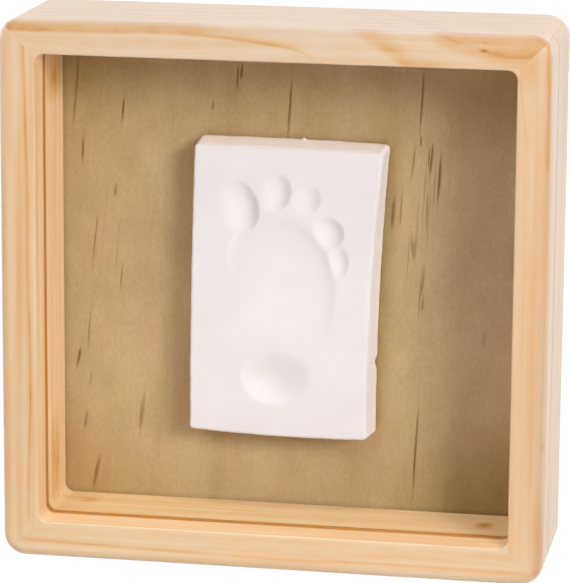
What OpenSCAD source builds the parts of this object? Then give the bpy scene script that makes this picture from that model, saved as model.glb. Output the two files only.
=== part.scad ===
// Imprint keepsake box: a square pine shadow box with a hinged window lid, a back panel,
// a clay tablet with the imprint of a baby's foot, brass hinges, magnets and a hanger.
// Millimetres. Z is up, the window faces -Y, and the origin is the middle of the face it stands on.

/* [Box] */
// Width and height of the square box
box_w = 170; // [150:1:220]
// Depth from the front of the lid to the rear edge
box_d = 47; // [46:0.5:70]
// Width of a rail, from the outside to the opening
rail_w = 10.8; // [10.4:0.1:14]
// Radius of the outer corners, seen from the front
corner_r = 7; // [6:0.5:10]
// Radius of the corners of the lid's opening
opening_r = 3; // [2:0.5:6]
// Radius of the corners inside the base
inside_r = 3; // [2:0.5:6]
// Round-over of the outer edge at the front
front_r = 3; // [2:0.5:5.5]
// Round-over of the opening's edge at the front
mouth_r = 0.6; // [0.4:0.1:2.5]
// Round-over of the outer edge at the rear
rear_r = 1.5; // [0.8:0.1:3]
// Small rounding of the edges along the seam
arris_r = 0.5; // [0.3:0.1:0.8]

/* [Lid] */
// How much smaller the lid's opening is than the base's, on each side
lip = 0.4; // [0.1:0.1:0.8]
// How far the lid's opening lies to the right of the box's middle
mouth_x = 0.4; // [-0.5:0.1:0.5]
// How far the lid's opening lies above the box's middle
mouth_z = 0.5; // [-0.5:0.1:0.5]
// Thickness of the lid, front to back
lid_d = 15; // [13:0.5:20]
// Gap between the closed lid and the base
seam = 0.3; // [0.2:0.1:0.6]
// Thickness of the clear pane
pane_t = 2; // [1.5:0.5:3]
// Width of the rebate that takes the pane
rebate_w = 4; // [3:0.1:4.2]
// How far the pane is sunk below the rear of the lid
pane_sunk = 1.5; // [0.5:0.5:3]
// Gap between the pane's edges and the rebate
pane_play = 0.3; // [0.1:0.1:0.6]

/* [Back panel] */
// Depth of the inside, from the base's rim to the panel
cavity_d = 23.3; // [20:0.1:24]
// Thickness of the panel
panel_t = 4; // [3:0.5:5]
// Depth of the groove that holds the panel's edges
groove_d = 5; // [3:0.5:6]
// Gap between the panel's edges and the bottom of the groove
panel_play = 0.3; // [0.1:0.1:0.8]

/* [Clay tablet] */
// Width of the tablet's front
clay_w = 57; // [50:1:70]
// Height of the tablet's front
clay_h = 92; // [84:1:110]
// Thickness of the tablet
clay_t = 12; // [9:0.5:14]
// How far the sides lean out from front to back
clay_draft = 0.6; // [0.3:0.1:2]
// Rounding of the front edge
clay_edge_r = 0.9; // [0.6:0.1:2]
// Rounding of the corners, seen from the front
clay_corner_r = 1.5; // [1:0.5:6]
// Place of the tablet to the right of the panel's middle
clay_x = -1; // [-20:1:20]
// Place of the tablet above the panel's middle
clay_z = -2; // [-20:1:20]
// Length of the foot that made the imprint
foot_l = 75; // [60:1:80]
// Depth of the imprint against the modelled one
foot_depth = 0.7; // [0.5:0.1:1.5]

/* [Mounting tape] */
// Length of each strip
tape_w = 40; // [20:1:48]
// Height of each strip
tape_h = 12; // [8:1:20]
// Thickness of the strips
tape_t = 1; // [0.5:0.1:2]
// Distance between the middles of the two strips
tape_gap = 50; // [30:1:60]

/* [Hinges] */
// Length of a hinge along its pin
hinge_l = 20; // [16:1:30]
// Distance from the ends of the box to the middle of a hinge
hinge_inset = 40; // [25:1:60]
// Width of a leaf on the wood
leaf_w = 5.8; // [5:0.1:6.1]
// Thickness of a leaf
leaf_t = 0.9; // [0.7:0.1:1.2]
// Radius of the knuckles
knuckle_r = 1.5; // [1.3:0.1:2]
// Radius of the pin
pin_r = 0.7; // [0.5:0.1:0.9]
// Length of the knuckle on the lid
lid_knuckle_l = 7.4; // [5:0.1:10]
// Distance of the pin's axis from the left face of the box
pin_out = 0.9; // [0.8:0.1:1.4]

/* [Screws] */
// Length of the hinge screws
screw_l = 6; // [4:0.5:9]
// Radius of the screw's shank
screw_r = 0.7; // [0.5:0.1:0.8]
// Radius of the countersunk head
screw_head_r = 1.4; // [1.2:0.1:1.5]
// Distance between the two screws of a leaf
screw_pitch = 11; // [8:0.5:13]

/* [Magnets] */
// Diameter of a magnet
magnet_d = 4; // [3:0.5:5]
// Thickness of a magnet
magnet_t = 2; // [1:0.5:3]
// Distance from the ends of the box to a magnet
magnet_inset = 40; // [25:1:60]

/* [Hanger] */
// Length of the hanger
hanger_l = 46; // [36:1:60]
// Height of the strip
hanger_h = 8; // [6:0.5:12]
// Thickness of the strip
hanger_t = 0.8; // [0.6:0.1:1]
// How far the middle stands off the panel
hanger_rise = 1.2; // [0.8:0.1:1.6]
// Length of each flat end
hanger_end = 8; // [6:0.5:10]
// Distance from the top of the panel's bare face to the hanger
hanger_drop = 10; // [4:1:40]
// Width of a tooth
tooth_w = 2; // [1.5:0.1:3]
// Depth of a tooth
tooth_d = 1.4; // [0.8:0.1:2]
// Radius of the nails
nail_r = 0.6; // [0.4:0.1:0.8]
// Radius of the nail heads
nail_head_r = 1.6; // [1.2:0.1:2]

/* [Hidden] */
$fn = 96;

pine = [0.90, 0.75, 0.57];
plywood = [0.70, 0.58, 0.39];
clay = [0.95, 0.92, 0.91];
acrylic = [0.85, 0.92, 0.95, 0.25];
brass = [0.80, 0.64, 0.30];
nickel = [0.75, 0.75, 0.76];
foam = [0.93, 0.93, 0.90];

// Small gaps: loose fit in the wood, a pin held tight, a pin that turns, and knuckle to knuckle
fit = 0.1;
tight = 0.02;
running = 0.05;
knuckle_gap = 0.3;
// How far a cut runs past the face that it opens
past = 1;

half = box_w / 2;
open_half = half - rail_w;
mouth_half = open_half - lip;
front_y = -box_d / 2;
rear_y = box_d / 2;
lid_rear_y = front_y + lid_d;
pane_y = lid_rear_y - pane_sunk - pane_t;
base_front_y = lid_rear_y + seam;
panel_y = base_front_y + cavity_d;
panel_rear_y = panel_y + panel_t;
pin_x = -half - pin_out;
pin_y = lid_rear_y + seam / 2;
upper_hinge_z = box_w - hinge_inset;
lower_hinge_z = hinge_inset;
land_w = rail_w - rebate_w;

// Extrudes a profile of outward distance and depth along the length of the top rail
module along_rail(length) {
    rotate([0, -90, 0])
        linear_extrude(height = length, center = true)
            children();
}

// Turns a profile of radius and depth through a quarter circle, to the upper right
module quarter_turn() {
    rotate([-90, 0, 0])
        rotate_extrude(angle = -90)
            children();
}

// How far each side of the square is turned from the top, in degrees
function side_turn(side) = side == "right" ? 90 : side == "bottom" ? 180 : side == "left" ? 270 : 0;

// A shift in the square, to the right and up, as a side's own part sees it before its turn
function side_shift(v, side) =
    let (a = side_turn(side))
    [v.x * cos(a) - v.y * sin(a), v.x * sin(a) + v.y * cos(a)];

// Which way from the seam a body lies: the lid in front of it, the base behind it
function rearward(body) = body == "base" ? 1 : -1;

// Moves a part drawn as the top one of four to a side of the square
module on_side(side) {
    translate([0, 0, half])
        rotate([0, side_turn(side), 0])
            children();
}

// What a round-over takes off a square edge whose corner is at the origin, with wood up and left
module round_over(r) {
    difference() {
        translate([-r, -past])
            square([r + past, r + past]);
        translate([-r, r])
            circle(r);
    }
}

// Section of a rail's outer part: outward distance along x, depth along y
module rail_section(width, y0, y1, front, rear) {
    difference() {
        translate([0, y0])
            square([width, y1 - y0]);
        translate([width, y0])
            round_over(front);
        translate([width, y1])
            mirror([0, 1])
                round_over(rear);
    }
}

// The opening that the four rails leave, this far to each side, rounded over at its front edge
module opening(reach, y0, y1, mouth, r) {
    inner = reach - r;
    translate([-inner, y0 - past, 0])
        cube([2 * inner, y1 - y0 + 2 * past, reach]);
    translate([-reach, y0 - past, 0])
        cube([2 * reach, y1 - y0 + 2 * past, inner]);
    for (s = [-1, 1])
        translate([s * inner, y0 - past, inner])
            rotate([-90, 0, 0])
                cylinder(r = r, h = y1 - y0 + 2 * past);
    along_rail(2 * inner)
        translate([reach, y0])
            mirror([1, 0])
                round_over(mouth);
    for (s = [0, 1])
        mirror([s, 0, 0])
            translate([inner, 0, inner])
                quarter_turn()
                    translate([r, y0])
                        mirror([1, 0])
                            round_over(mouth);
}

// One mitred rail, drawn as the top rail with the middle of the square at the origin
module rail(reach, shift, y0, y1, front, rear, mouth, inner_r) {
    straight = half - corner_r;
    stock = half - reach + inner_r + past;
    intersection() {
        difference() {
            union() {
                along_rail(2 * straight)
                    translate([half - stock, 0])
                        rail_section(stock, y0, y1, front, rear);
                for (s = [0, 1])
                    mirror([s, 0, 0])
                        translate([straight, 0, straight])
                            quarter_turn()
                                rail_section(corner_r, y0, y1, front, rear);
            }
            translate([shift.x, 0, shift.y])
                opening(reach, y0, y1, mouth, inner_r);
        }
        translate([0, y1 + past, 0])
            rotate([90, 0, 0])
                linear_extrude(height = y1 - y0 + 2 * past)
                    polygon([[0, 0], [half + past, half + past], [-half - past, half + past]]);
    }
}

// A lid rail with the rebate for the pane
module lid_rail(side) {
    pocket = open_half + rebate_w;
    shift = side_shift([mouth_x, mouth_z], side);
    on_side(side)
        difference() {
            rail(mouth_half, shift, front_y, lid_rear_y, front_r, arris_r, mouth_r, opening_r);
            translate([-pocket, pane_y, 0])
                cube([2 * pocket, pane_t + pane_sunk + past, pocket]);
        }
}

// A base rail with the groove for the panel
module base_rail(side) {
    pocket = open_half + groove_d;
    on_side(side)
        difference() {
            rail(open_half, [0, 0], base_front_y, rear_y, arris_r, rear_r, arris_r, inside_r);
            translate([-pocket, panel_y, 0])
                cube([2 * pocket, panel_t, pocket]);
        }
}

// Places a part at the middle of each hinge's pin
module at_hinges() {
    for (z = [lower_hinge_z, upper_hinge_z])
        translate([pin_x, pin_y, z])
            children();
}

// Places a part at each screw of one leaf, with its axis into the wood
module at_screws(body) {
    for (s = [-1, 1])
        translate([pin_out + leaf_w / 2, rearward(body) * seam / 2, s * screw_pitch / 2])
            rotate([-90 * rearward(body), 0, 0])
                children();
}

// What the hinges need cut into the lid's or the base's left rail
module hinge_cuts(body) {
    at_hinges() {
        translate([0, body == "base" ? 0 : -seam / 2 - leaf_t, -hinge_l / 2 - fit])
            cube([pin_out + leaf_w + fit, seam / 2 + leaf_t, hinge_l + 2 * fit]);
        cylinder(r = knuckle_r + knuckle_gap, h = hinge_l + 2 * fit, center = true);
        at_screws(body)
            cylinder(r = screw_r + tight, h = screw_l);
    }
}

// Places a part at each magnet, with its axis into the right rail
module at_magnets(body) {
    for (z = [magnet_inset, box_w - magnet_inset])
        translate([half - land_w / 2, body == "base" ? base_front_y : lid_rear_y, z])
            rotate([-90 * rearward(body), 0, 0])
                children();
}

module magnet_cuts(body) {
    at_magnets(body)
        translate([0, 0, -past])
            cylinder(d = magnet_d + 2 * tight, h = magnet_t + past);
}

module lid_top_rail() {
    color(pine) lid_rail("top");
}

module lid_right_rail() {
    color(pine)
        difference() {
            lid_rail("right");
            magnet_cuts("lid");
        }
}

module lid_bottom_rail() {
    color(pine) lid_rail("bottom");
}

module lid_left_rail() {
    color(pine)
        difference() {
            lid_rail("left");
            hinge_cuts("lid");
        }
}

module base_top_rail() {
    color(pine) base_rail("top");
}

module base_right_rail() {
    color(pine)
        difference() {
            base_rail("right");
            magnet_cuts("base");
        }
}

module base_bottom_rail() {
    color(pine) base_rail("bottom");
}

module base_left_rail() {
    color(pine)
        difference() {
            base_rail("left");
            hinge_cuts("base");
        }
}

// The pane lies against the shoulder of the rebate
module window_pane() {
    pane_half = open_half + rebate_w - pane_play;
    color(acrylic)
        translate([-pane_half, pane_y, half - pane_half])
            cube([2 * pane_half, pane_t, 2 * pane_half]);
}

module back_panel() {
    panel_half = open_half + groove_d - panel_play;
    color(plywood)
        difference() {
            translate([-panel_half, panel_y, half - panel_half])
                cube([2 * panel_half, panel_t, 2 * panel_half]);
            at_nails()
                cylinder(r = nail_r + tight, h = nail_l);
        }
}

module magnets(body) {
    color(nickel)
        at_magnets(body)
            cylinder(d = magnet_d, h = magnet_t);
}

module lid_magnets() {
    magnets("lid");
}

module base_magnets() {
    magnets("base");
}

// Hinge leaf with its knuckles, drawn about the middle of the pin
module leaf(body) {
    on_base = body == "base";
    outer_l = (hinge_l - lid_knuckle_l) / 2 - knuckle_gap;
    outer_z = (hinge_l - outer_l) / 2;
    own_l = on_base ? outer_l : lid_knuckle_l;
    own_z = on_base ? [-outer_z, outer_z] : [0];
    other_l = (on_base ? lid_knuckle_l : outer_l) + 2 * knuckle_gap;
    other_z = on_base ? [0] : [-outer_z, outer_z];
    bore_r = pin_r + (on_base ? tight : running);
    color(brass)
        difference() {
            union() {
                difference() {
                    translate([0, on_base ? seam / 2 : -seam / 2 - leaf_t, -hinge_l / 2])
                        cube([pin_out + leaf_w, leaf_t, hinge_l]);
                    for (z = other_z)
                        translate([0, 0, z])
                            cylinder(r = knuckle_r + knuckle_gap, h = other_l, center = true);
                }
                for (z = own_z)
                    translate([0, 0, z])
                        cylinder(r = knuckle_r, h = own_l, center = true);
            }
            cylinder(r = bore_r, h = hinge_l + 2 * past, center = true);
            at_screws(body)
                screw_hole();
        }
}

// Countersunk hole through a leaf
module screw_hole() {
    sink = screw_head_r - screw_r;
    cylinder(r1 = screw_head_r + tight, r2 = screw_r + tight, h = sink);
    cylinder(r = screw_r + tight, h = leaf_t + past);
}

// Slotted countersunk wood screw with its head at the origin
module screw() {
    sink = screw_head_r - screw_r;
    slot_w = screw_head_r / 4;
    difference() {
        union() {
            cylinder(r1 = screw_head_r, r2 = screw_r, h = sink);
            cylinder(r = screw_r, h = screw_l - screw_r);
            translate([0, 0, screw_l - screw_r])
                cylinder(r1 = screw_r, r2 = 0, h = screw_r);
        }
        translate([-screw_head_r, -slot_w / 2, 0])
            cube([2 * screw_head_r, slot_w, sink / 2]);
    }
}

module hinge_screws(body) {
    color(brass)
        at_hinges()
            at_screws(body)
                screw();
}

module lid_hinge_screws() {
    hinge_screws("lid");
}

module base_hinge_screws() {
    hinge_screws("base");
}

// Hinge pin with a small rivet head at each end
module pin() {
    head_r = (pin_r + knuckle_r) / 2;
    head_l = pin_r / 2;
    color(brass) {
        cylinder(r = pin_r, h = hinge_l + 2 * head_l, center = true);
        for (s = [-1, 1])
            translate([0, 0, s * (hinge_l + head_l) / 2])
                cylinder(r = head_r, h = head_l, center = true);
    }
}

module upper_hinge_lid_leaf() {
    translate([pin_x, pin_y, upper_hinge_z]) leaf("lid");
}

module upper_hinge_base_leaf() {
    translate([pin_x, pin_y, upper_hinge_z]) leaf("base");
}

module upper_hinge_pin() {
    translate([pin_x, pin_y, upper_hinge_z]) pin();
}

module lower_hinge_lid_leaf() {
    translate([pin_x, pin_y, lower_hinge_z]) leaf("lid");
}

module lower_hinge_base_leaf() {
    translate([pin_x, pin_y, lower_hinge_z]) leaf("base");
}

module lower_hinge_pin() {
    translate([pin_x, pin_y, lower_hinge_z]) pin();
}

module mounting_tape() {
    color(foam)
        for (s = [-1, 1])
            translate([clay_x - tape_w / 2, panel_y - tape_t, half + clay_z + s * tape_gap / 2 - tape_h / 2])
                cube([tape_w, tape_t, tape_h]);
}

// The hand-cut tablet: its front is a grid whose rows crowd towards the edges.
// How far the front's corners stray from a true rectangle: top left, top right, bottom right, bottom left
clay_stray = [[0.5, 0.1], [3, -0.6], [-1.2, -0.5], [-1, 0.4]];
// How far the middle of each front edge bows out: top, right, bottom, left
clay_bow = [0.1, -1.5, 0.7, 0.4];
// How far the rear's corners stand out from the front's, in drafts
clay_flare = [[-1, 1], [0.5, 1], [1.8, -1], [-1, -1]];
// How far the middle of each rear edge swells out beyond that
clay_swell = [0.2, 0.5, 0, 0];
clay_cols = 44;
clay_rows = 70;
crowding = 0.25;

// The imprint for a foot of this length: middle x and z, half width, half length, lean, depth,
// how much deeper the right and the top lie than the middle, and how full the cup is
foot_model_l = 75;
big_toe = [-13.9, 26.5, 6.4, 8.9, 16, 1.95, 0.98, -0.43, 1.2];
second_toe = [-2.5, 31.1, 5.1, 6.6, -22, 1.42, 1, 0.65, 1.3];
third_toe = [7.4, 29.4, 4.5, 5.1, -28, 1, 0.81, 0.46, 1.15];
fourth_toe = [14.3, 19.2, 5.2, 5.3, -29, 1.9, 0.43, 0.41, 1.3];
little_toe = [17.3, 10.2, 3.7, 5.2, 0, 0.98, 0.85, 0.24, 1.2];
sole = [0.5, 1.1, 15.6, 21.7, 7, 1.14, 1, 0.45, 0.5];
inner_ball = [-12, 12.8, 5, 8.5, -14, 0.55, -0.6, 0.1, 0.7];
heel = [-2.1, -27, 11.2, 9.4, 3, 2.15, -0.21, -1, 1.3];
dents = [big_toe, second_toe, third_toe, fourth_toe, little_toe, sole, inner_ball, heel];
// How soft a dent's rim is, and how sharply neighbouring dents meet
rim_soft = 0.05;
meet_power = 4;

function crowd(k, n) = let (u = 2 * k / n - 1) u * (1 + crowding - crowding * u * u);

// Draws the corners of the unit square in to quarter ellipses
function round_corner(u, v) =
    let (
        cu = 2 * clay_corner_r / clay_w,
        cv = 2 * clay_corner_r / clay_h,
        a = max(0, (abs(u) - 1) / cu + 1),
        b = max(0, (abs(v) - 1) / cv + 1)
    )
    a == 0 || b == 0 ? [u, v] :
    [sign(u) * (1 - cu + cu * a * sqrt(1 - b * b / 2)), sign(v) * (1 - cv + cv * b * sqrt(1 - a * a / 2))];

// What four strayed corners and four bowed edges add at a point of the unit square
function hand_cut(r, corners, bows) =
    let (
        to_left = (1 - r.x) / 2,
        to_right = (1 + r.x) / 2,
        to_top = (1 + r.y) / 2,
        to_bottom = (1 - r.y) / 2,
        share = [to_left * to_top, to_right * to_top, to_right * to_bottom, to_left * to_bottom]
    )
    share * corners + [
        (bows[1] * to_right - bows[3] * to_left) * (1 - r.y * r.y),
        (bows[0] * to_top - bows[2] * to_bottom) * (1 - r.x * r.x)
    ];

// A point of the front, in millimetres from the tablet's middle
function clay_plan(u, v) =
    let (r = round_corner(u, v))
    [r.x * clay_w / 2, r.y * clay_h / 2] + hand_cut(r, clay_stray, clay_bow);

// Depth of one dent at a point of the foot
function dent(d, p) =
    let (
        x = p.x - d[0],
        z = p.y - d[1],
        across = (x * cos(d[4]) + z * sin(d[4])) / d[2],
        along = (z * cos(d[4]) - x * sin(d[4])) / d[3],
        cup = rim_soft * ln(1 + exp((1 - across * across - along * along) / rim_soft))
    )
    d[5] * pow(cup, d[8]) * max(0, 1 + d[6] * across + d[7] * along);

function imprint(p) =
    let (q = p * foot_model_l / foot_l)
    foot_depth * pow([for (d = dents) pow(dent(d, q), meet_power)] * [for (d = dents) 1], 1 / meet_power);

// How far the rounded front edge falls back at a point of the grid
function edge_fall(u, v) =
    let (gap = min((1 - abs(u)) * clay_w, (1 - abs(v)) * clay_h) / 2)
    gap >= clay_edge_r ? 0 : clay_edge_r - sqrt(clay_edge_r * clay_edge_r - pow(clay_edge_r - gap, 2));

function clay_front(u, v) =
    let (p = clay_plan(u, v))
    [p.x, imprint(p) + edge_fall(u, v), p.y];

function clay_rear(u, v) =
    let (p = clay_plan(u, v) + hand_cut(round_corner(u, v), clay_draft * clay_flare, clay_swell))
    [p.x, clay_t, p.y];

module clay_tablet() {
    row_l = clay_cols + 1;
    front = [for (j = [0:clay_rows]) for (i = [0:clay_cols])
        clay_front(crowd(i, clay_cols), crowd(j, clay_rows))];
    // Border of the grid, counter-clockwise from the lower left
    border = concat(
        [for (i = [0:clay_cols - 1]) [i, 0]],
        [for (j = [0:clay_rows - 1]) [clay_cols, j]],
        [for (i = [clay_cols:-1:1]) [i, clay_rows]],
        [for (j = [clay_rows:-1:1]) [0, j]]
    );
    rear = [for (b = border) clay_rear(crowd(b.x, clay_cols), crowd(b.y, clay_rows))];
    first_rear = len(front);
    middle_rear = first_rear + len(rear);
    cells = [for (j = [0:clay_rows - 1]) for (i = [0:clay_cols - 1])
        let (a = j * row_l + i)
        each [[a, a + row_l, a + row_l + 1], [a, a + row_l + 1, a + 1]]];
    sides = [for (k = [0:len(border) - 1])
        let (
            n = (k + 1) % len(border),
            a = border[k].y * row_l + border[k].x,
            b = border[n].y * row_l + border[n].x
        )
        each [[a, b, first_rear + n], [a, first_rear + n, first_rear + k]]];
    back = [for (k = [0:len(border) - 1])
        [first_rear + k, first_rear + (k + 1) % len(border), middle_rear]];
    color(clay)
        translate([clay_x, panel_y - tape_t - clay_t, half + clay_z])
            polyhedron(
                points = concat(front, rear, [[0, clay_t, 0]]),
                faces = concat(cells, sides, back)
            );
}

// Sawtooth hanger, nailed to the back of the panel below the top rail
nail_l = panel_t - past / 2;
hanger_z = half + open_half - hanger_drop - hanger_h;

// Places a part at each nail, with its axis into the panel
module at_nails() {
    for (s = [-1, 1])
        translate([s * (hanger_l - hanger_end) / 2, panel_rear_y, hanger_z + hanger_h / 2])
            rotate([90, 0, 0])
                children();
}

module hanger() {
    reach = hanger_l / 2;
    foot = reach - hanger_end;
    ramp = 2 * hanger_rise;
    rise = hanger_rise;
    rail = foot - ramp;
    teeth = floor((2 * rail - tooth_w) / tooth_w);
    color(nickel)
        difference() {
            translate([0, panel_rear_y, hanger_z])
                linear_extrude(height = hanger_h)
                    polygon([
                        [-reach, 0], [-foot, 0], [-rail, rise], [rail, rise], [foot, 0], [reach, 0],
                        [reach, hanger_t], [foot, hanger_t], [rail, rise + hanger_t],
                        [-rail, rise + hanger_t], [-foot, hanger_t], [-reach, hanger_t]
                    ]);
            for (k = [0:teeth - 1])
                translate([(k - (teeth - 1) / 2) * tooth_w, panel_rear_y + rise + hanger_t + past, hanger_z])
                    rotate([90, 0, 0])
                        linear_extrude(height = hanger_t + 2 * past)
                            polygon([[-tooth_w / 2, -past], [tooth_w / 2, -past], [0, tooth_d]]);
            at_nails()
                translate([0, 0, -hanger_t - past])
                    cylinder(r = nail_r + tight, h = hanger_t + 2 * past);
        }
}

// Round-headed nails through the hanger's ends
module hanger_nails() {
    head_l = nail_r;
    color(nickel)
        at_nails() {
            translate([0, 0, -hanger_t])
                cylinder(r = nail_r, h = nail_l + hanger_t - nail_r);
            translate([0, 0, nail_l - nail_r])
                cylinder(r1 = nail_r, r2 = 0, h = nail_r);
            translate([0, 0, -hanger_t - head_l])
                cylinder(r1 = nail_head_r - head_l, r2 = nail_head_r, h = head_l);
        }
}

lid_top_rail();
lid_right_rail();
lid_bottom_rail();
lid_left_rail();
window_pane();
lid_magnets();
base_top_rail();
base_right_rail();
base_bottom_rail();
base_left_rail();
back_panel();
base_magnets();
mounting_tape();
clay_tablet();
upper_hinge_lid_leaf();
upper_hinge_base_leaf();
upper_hinge_pin();
lower_hinge_lid_leaf();
lower_hinge_base_leaf();
lower_hinge_pin();
lid_hinge_screws();
base_hinge_screws();
hanger();
hanger_nails();
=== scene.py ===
import math

import bpy
import numpy as np
from mathutils import Matrix, Vector


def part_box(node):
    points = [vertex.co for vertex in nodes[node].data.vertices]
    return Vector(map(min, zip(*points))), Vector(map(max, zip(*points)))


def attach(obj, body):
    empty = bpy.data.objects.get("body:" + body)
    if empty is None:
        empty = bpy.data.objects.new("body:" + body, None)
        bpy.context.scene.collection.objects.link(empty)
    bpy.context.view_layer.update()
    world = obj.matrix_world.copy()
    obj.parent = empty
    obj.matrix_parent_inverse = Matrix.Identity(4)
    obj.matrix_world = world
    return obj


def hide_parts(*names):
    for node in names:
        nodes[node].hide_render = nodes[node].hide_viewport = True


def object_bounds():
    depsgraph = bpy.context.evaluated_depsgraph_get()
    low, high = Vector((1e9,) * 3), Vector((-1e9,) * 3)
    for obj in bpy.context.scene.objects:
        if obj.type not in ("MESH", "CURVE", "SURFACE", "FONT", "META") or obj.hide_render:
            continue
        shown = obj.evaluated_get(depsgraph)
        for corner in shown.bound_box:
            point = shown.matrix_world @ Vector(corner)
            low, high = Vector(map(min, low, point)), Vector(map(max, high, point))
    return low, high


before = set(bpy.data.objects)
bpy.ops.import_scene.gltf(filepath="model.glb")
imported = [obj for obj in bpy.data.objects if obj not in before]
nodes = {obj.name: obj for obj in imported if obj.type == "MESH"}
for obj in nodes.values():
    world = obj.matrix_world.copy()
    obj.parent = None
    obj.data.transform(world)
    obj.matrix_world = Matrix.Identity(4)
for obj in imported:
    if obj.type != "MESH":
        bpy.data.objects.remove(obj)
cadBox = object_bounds()
mm = 0.001

# Where the box's own faces lie, from the frame, in millimetres
half = cadBox[1].z / mm / 2                 # from the box's middle to its outer faces
frontY = cadBox[0].y / mm                   # front of the lid
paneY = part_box("window_pane")[0].y / mm
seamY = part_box("base_top_rail")[0].y / mm   # front of the base
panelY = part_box("back_panel")[0].y / mm
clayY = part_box("clay_tablet")[0].y / mm

print("stage 1: frame loaded,", len(nodes), "nodes")


def addObject(name, data):
    obj = bpy.data.objects.new(name, data)
    bpy.context.scene.collection.objects.link(obj)
    return obj


def direction(azimuth, elevation):
    # away from the box, this many degrees to the right of straight on and above level
    a, e = math.radians(azimuth), math.radians(elevation)
    return Vector((math.sin(a) * math.cos(e), -math.cos(a) * math.cos(e), math.sin(e)))


# The camera stands where a fit to the box's edges in the picture puts it
camera = {
    "place": (188.43 * mm, -1027.35 * mm, 318.36 * mm),
    "azimuth": 10.3745,     # degrees to the right of straight on
    "elevation": 12.659,    # degrees looked down
    "roll": 0.4129,
    "focalPixels": 3438.0,
    "picture": (570, 583),  # width and height in pixels
    "sensor": 36.0,         # millimetres
    "clip": (0.01, 50.0),   # metres
}


def makeCamera(c):
    back, roll = direction(c["azimuth"], c["elevation"]), math.radians(c["roll"])
    right = (-back).cross(Vector((0, 0, 1))).normalized()
    up = right.cross(-back)
    tiltedRight = right * math.cos(roll) + up * math.sin(roll)
    tiltedUp = up * math.cos(roll) - right * math.sin(roll)
    turn = Matrix((tiltedRight, tiltedUp, back)).transposed().to_4x4()
    data = bpy.data.cameras.new("camera")
    data.sensor_width = c["sensor"]
    data.lens = c["focalPixels"] * c["sensor"] / max(c["picture"])
    data.clip_start, data.clip_end = c["clip"]
    obj = addObject("camera", data)
    obj.matrix_world = Matrix.Translation(c["place"]) @ turn
    bpy.context.scene.camera = obj


makeCamera(camera)


def tone(r, g, b):
    # a colour as read off a screen, 0 to 255, turned to the linear values that shaders take
    def linear(v):
        v = v / 255
        return v / 12.92 if v < 0.04045 else ((v + 0.055) / 1.055) ** 2.4
    return (linear(r), linear(g), linear(b), 1)


class Wire:
    # one value in a node tree: arithmetic on it adds its own Math nodes
    def __init__(self, maker, socket):
        self.maker, self.socket = maker, socket

    def math(self, operation, *others):
        return self.maker.node("ShaderNodeMath", {"operation": operation}, self, *others)

    def __add__(self, other):
        return self.math("ADD", other)

    __radd__ = __add__

    def __sub__(self, other):
        return self.math("SUBTRACT", other)

    def __rsub__(self, other):
        return self.maker.node("ShaderNodeMath", {"operation": "SUBTRACT"}, other, self)

    def __mul__(self, other):
        return self.math("MULTIPLY", other)

    __rmul__ = __mul__

    def __truediv__(self, other):
        return self.math("DIVIDE", other)

    def __pow__(self, other):
        return self.math("POWER", other)

    def __abs__(self):
        return self.math("ABSOLUTE")

    def __neg__(self):
        return self.math("MULTIPLY", -1)

    def root(self):
        return self.math("SQRT")

    def fraction(self):
        return self.math("FRACT")

    def atMost(self, other):
        return self.math("MINIMUM", other)

    def atLeast(self, other):
        return self.math("MAXIMUM", other)

    def rise(self, low, high):
        # 0 below low, 1 above high, smooth between
        settings = {"interpolation_type": "SMOOTHSTEP"}
        return self.maker.node("ShaderNodeMapRange", settings, self, low, high, 0, 1)

    def bell(self, middle, width):
        # 1 at the middle, falling off smoothly over the width
        away = (self - middle) / width
        return (-(away * away)).math("EXPONENT")


class Tree:
    # makes the nodes of one node tree
    def __init__(self, tree):
        self.tree = tree

    def find(self, kind):
        return next(n for n in self.tree.nodes if n.type == kind)

    def node(self, kind, settings, *values, out=0, sockets=None, **named):
        # values go to the first sockets in turn, sockets holds others by number, and named ones by name
        made = self.tree.nodes.new(kind)
        for key, value in settings.items():
            if key == "stops":
                self.setStops(made.color_ramp, value)
            elif key == "points":
                self.setPoints(made.mapping, value)
            else:
                setattr(made, key, value)
        for key, value in [*enumerate(values), *(sockets or {}).items(), *named.items()]:
            self.feed(made.inputs[key], value)
        return Wire(self, made.outputs[out])

    def feed(self, socket, value):
        if isinstance(value, Wire):
            self.tree.links.new(value.socket, socket)
        else:
            socket.default_value = value

    def setStops(self, ramp, stops):
        while len(ramp.elements) < len(stops):
            ramp.elements.new(1)
        for element, (position, colour) in zip(ramp.elements, stops):
            element.position, element.color = position, colour

    def setPoints(self, mapping, points):
        line = mapping.curves[0].points
        for place in points[2:]:
            line.new(*place)
        for knob, place in zip(line, points):
            knob.location = place
        mapping.update()


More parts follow.
